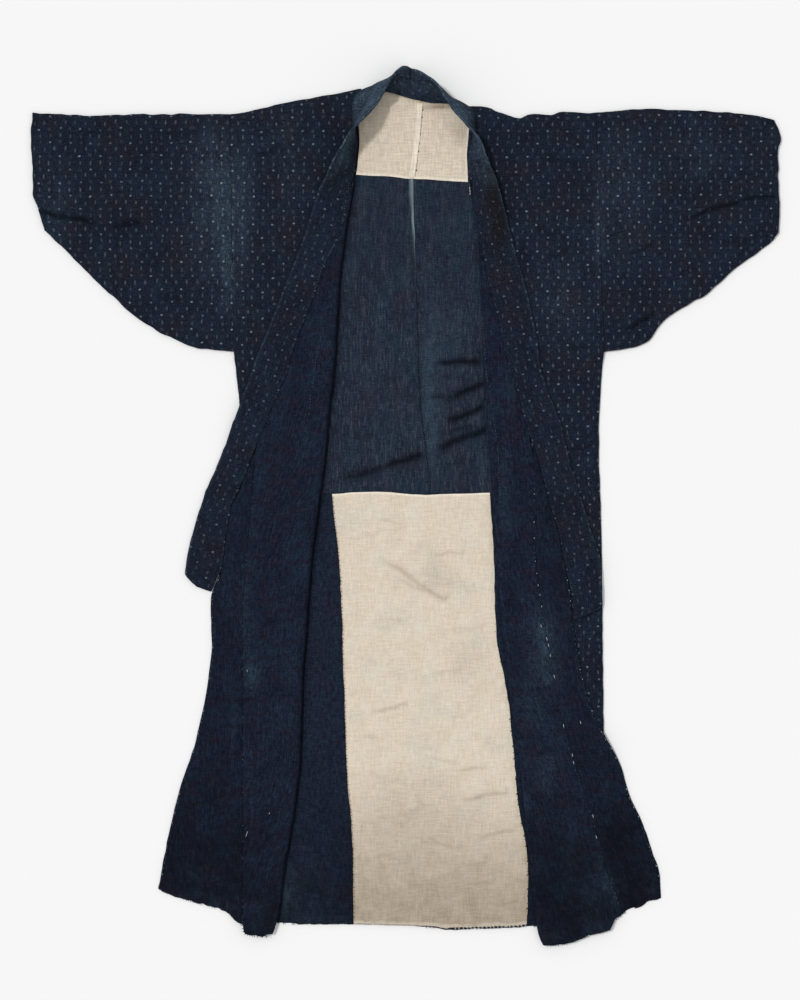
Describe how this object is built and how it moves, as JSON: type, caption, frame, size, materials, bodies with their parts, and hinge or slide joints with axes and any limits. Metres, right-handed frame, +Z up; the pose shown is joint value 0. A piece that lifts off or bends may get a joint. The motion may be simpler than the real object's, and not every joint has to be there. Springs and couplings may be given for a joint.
{
  "type": "noragi jacket",
  "caption": "Long lined noragi work jacket laid flat on its back, fronts folded open to show the patched lining.",
  "frame": {"origin": "centre of the laid-out jacket's plan, on the surface it lies on", "axes": "+Z up from the surface, +Y from the hem towards the collar, +X to the right in plan view"},
  "size_m": [1.1977, 1.4027, 0.0559],
  "materials": {
    "dotted_indigo": "matt, worn",
    "collar_indigo": "matt, worn",
    "plain_indigo": "matt, worn",
    "slubby_indigo": "matt, slubby",
    "pale_hemp": "matt, soft"
  },
  "bodies": {
    "root": {"back_left": "dotted_indigo", "back_right": "dotted_indigo", "back_lining_left": "slubby_indigo", "back_lining_right": "slubby_indigo", "yoke_patch_left": "pale_hemp", "yoke_patch_right": "pale_hemp", "lower_patch": "pale_hemp", "front_left": "dotted_indigo", "front_right": "dotted_indigo", "front_lining_left": "plain_indigo", "front_lining_right": "plain_indigo", "overlap_left": "dotted_indigo", "overlap_right": "dotted_indigo", "overlap_lining_left": "plain_indigo", "overlap_lining_right": "plain_indigo", "collar": "collar_indigo", "sleeve_left": "dotted_indigo", "sleeve_right": "dotted_indigo"}
  },
  "joints": []
}
